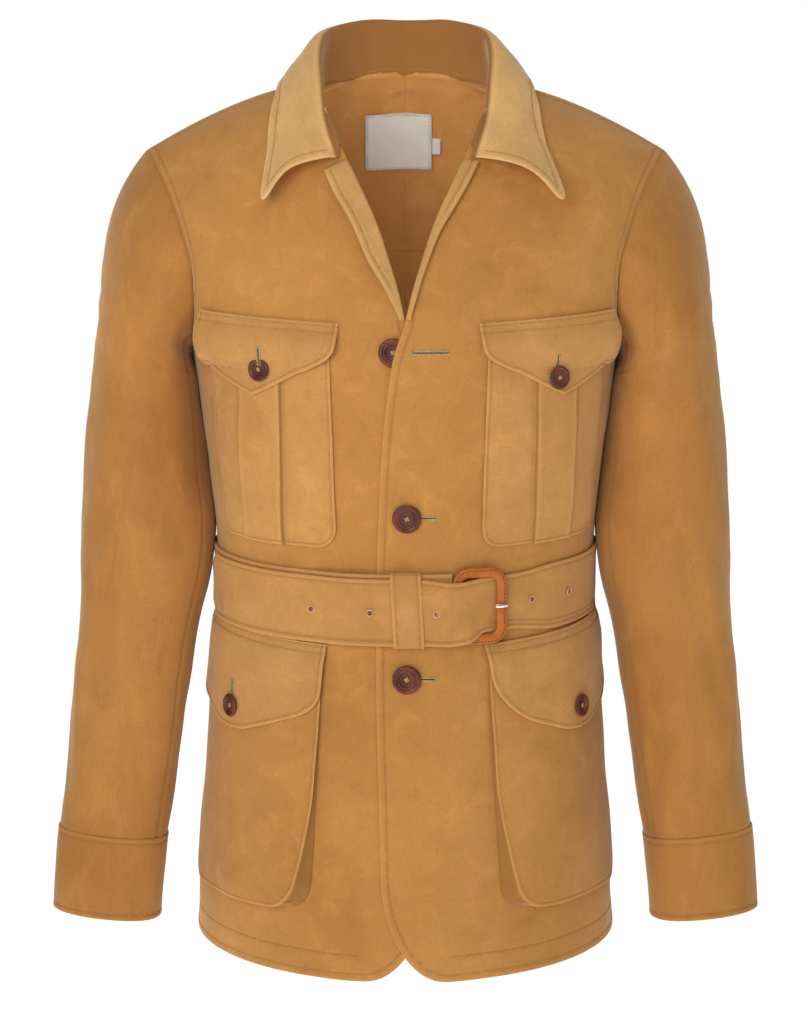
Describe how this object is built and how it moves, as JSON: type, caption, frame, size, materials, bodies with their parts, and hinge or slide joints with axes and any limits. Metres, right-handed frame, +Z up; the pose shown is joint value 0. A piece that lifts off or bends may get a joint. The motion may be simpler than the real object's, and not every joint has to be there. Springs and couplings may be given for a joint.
{
  "type": "safari jacket",
  "caption": "Belted safari jacket in brushed tan cotton, shown filled out as if worn, with bellows hip pockets, flapped chest pockets and a leather-covered buckle.",
  "frame": {"origin": "in the middle of the neck opening, level with the inner ends of the shoulder seams", "axes": "+Z up, the front faces -Y, +X is the wearer's left"},
  "size_m": [0.6168, 0.3064, 0.7926],
  "materials": {
    "cloth": "brushed cotton, soft nap",
    "button_horn": "polished, marbled",
    "buckle_leather": "smooth, waxed",
    "prong_metal": "polished",
    "eyelet_ring": "satin",
    "label_weave": "woven, matt"
  },
  "bodies": {
    "root": {"back_left": "cloth", "back_right": "cloth", "belt": "cloth", "belt_keeper": "cloth", "buckle": "buckle_leather", "button_1": "button_horn", "button_2": "button_horn", "button_3": "button_horn", "chest_button_left": "button_horn", "chest_button_right": "button_horn", "chest_flap_left": "cloth", "chest_flap_right": "cloth", "chest_pocket_left": "cloth", "chest_pocket_right": "cloth", "collar": "cloth", "cuff_left": "cloth", "cuff_right": "cloth", "eyelet_1": "eyelet_ring", "eyelet_2": "eyelet_ring", "eyelet_3": "eyelet_ring", "eyelet_4": "eyelet_ring", "eyelet_5": "eyelet_ring", "facing_left": "cloth", "facing_right": "cloth", "front_left": "cloth", "front_right": "cloth", "hip_button_left": "button_horn", "hip_button_right": "button_horn", "hip_flap_left": "cloth", "hip_flap_right": "cloth", "hip_pocket_left": "cloth", "hip_pocket_right": "cloth", "label": "label_weave", "prong": "prong_metal", "size_tab": "label_weave", "sleeve_left_under": "cloth", "sleeve_left_upper": "cloth", "sleeve_right_under": "cloth", "sleeve_right_upper": "cloth", "yoke": "cloth"}
  },
  "joints": []
}
